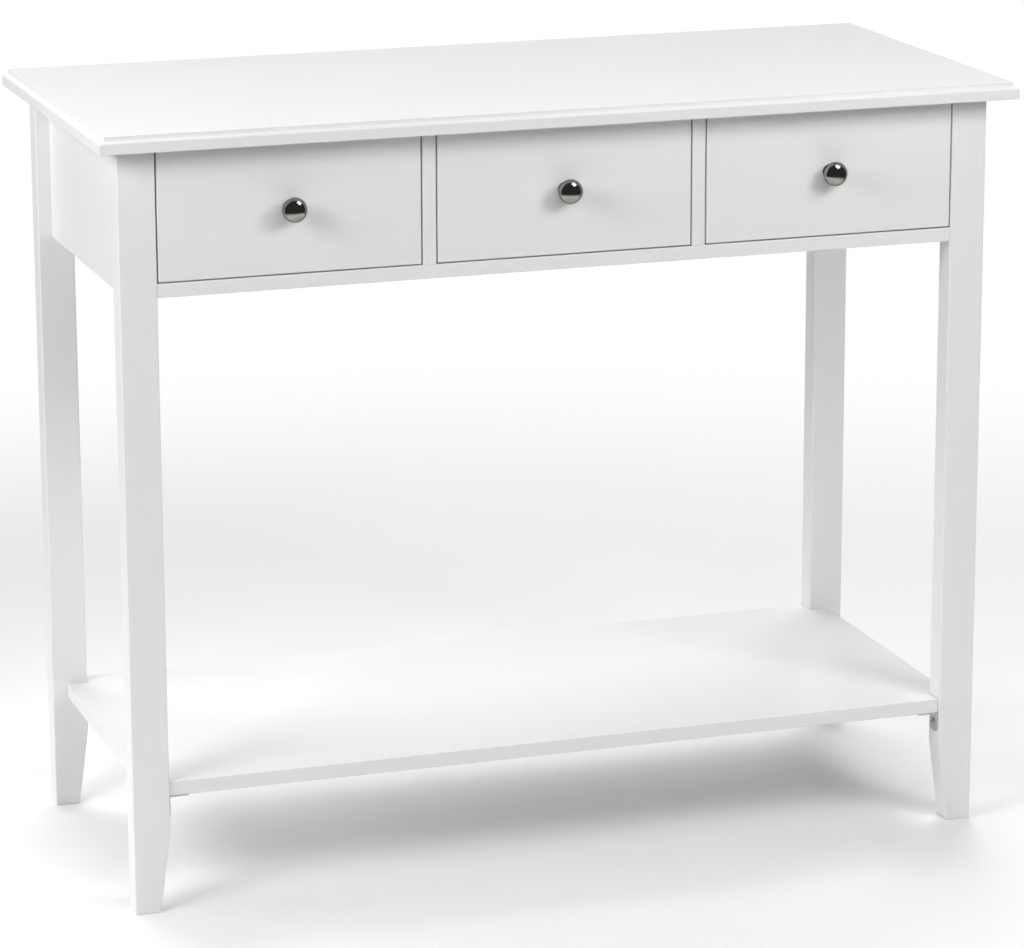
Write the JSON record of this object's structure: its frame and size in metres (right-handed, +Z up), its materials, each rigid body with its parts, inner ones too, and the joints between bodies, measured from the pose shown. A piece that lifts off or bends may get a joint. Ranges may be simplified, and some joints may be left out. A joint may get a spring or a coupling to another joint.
{
  "type": "console table",
  "caption": "Console table with a moulded top on tapered legs, inset drawers with round knobs under the top and a low shelf between the legs.",
  "frame": {"origin": "on the floor under the middle of the top", "axes": "+X to the right seen from the drawers, +Y to the back, +Z up"},
  "size_m": [0.964, 0.44, 0.8],
  "materials": {
    "white_paint": "satin white paint on board",
    "drawer_board": "white melamine-faced board",
    "drawer_sheet": "thin white-faced hardboard",
    "beech": "bare beech",
    "chrome": "polished chrome",
    "zinc": "bright zinc plating"
  },
  "bodies": {
    "table": {"back_panel": "white_paint", "bracket_screws": "zinc", "divider_left": "white_paint", "divider_right": "white_paint", "divider_screws": "zinc", "frame_cam_bolts": "zinc", "frame_cam_discs": "zinc", "frame_dowels": "beech", "front_rail": "white_paint", "leg_back_left": "white_paint", "leg_back_right": "white_paint", "leg_front_left": "white_paint", "leg_front_right": "white_paint", "lower_shelf": "white_paint", "runner_left_inner": "beech", "runner_left_outer": "beech", "runner_middle_left": "beech", "runner_middle_right": "beech", "runner_right_inner": "beech", "runner_right_outer": "beech", "runner_screws": "zinc", "shelf_brackets": "zinc", "side_apron_left": "white_paint", "side_apron_right": "white_paint", "top_cam_bolts": "zinc", "top_cam_discs": "zinc", "top_panel": "white_paint"},
    "drawer_left": {"drawer_left_back": "drawer_board", "drawer_left_back_screws": "zinc", "drawer_left_bottom": "drawer_sheet", "drawer_left_cams": "zinc", "drawer_left_dowels": "beech", "drawer_left_front": "white_paint", "drawer_left_knob": "chrome", "drawer_left_knob_screw": "zinc", "drawer_left_side_left": "drawer_board", "drawer_left_side_right": "drawer_board"},
    "drawer_middle": {"drawer_middle_back": "drawer_board", "drawer_middle_back_screws": "zinc", "drawer_middle_bottom": "drawer_sheet", "drawer_middle_cams": "zinc", "drawer_middle_dowels": "beech", "drawer_middle_front": "white_paint", "drawer_middle_knob": "chrome", "drawer_middle_knob_screw": "zinc", "drawer_middle_side_left": "drawer_board", "drawer_middle_side_right": "drawer_board"},
    "drawer_right": {"drawer_right_back": "drawer_board", "drawer_right_back_screws": "zinc", "drawer_right_bottom": "drawer_sheet", "drawer_right_cams": "zinc", "drawer_right_dowels": "beech", "drawer_right_front": "white_paint", "drawer_right_knob": "chrome", "drawer_right_knob_screw": "zinc", "drawer_right_side_left": "drawer_board", "drawer_right_side_right": "drawer_board"}
  },
  "joints": [
    {"name": "left_drawer_slide", "type": "slide", "parent": "table", "child": "drawer_left", "axis": [0, -1, 0], "range_m": [0, 0.25]},
    {"name": "middle_drawer_slide", "type": "slide", "parent": "table", "child": "drawer_middle", "axis": [0, -1, 0], "range_m": [0, 0.25]},
    {"name": "right_drawer_slide", "type": "slide", "parent": "table", "child": "drawer_right", "axis": [0, -1, 0], "range_m": [0, 0.25]}
  ]
}
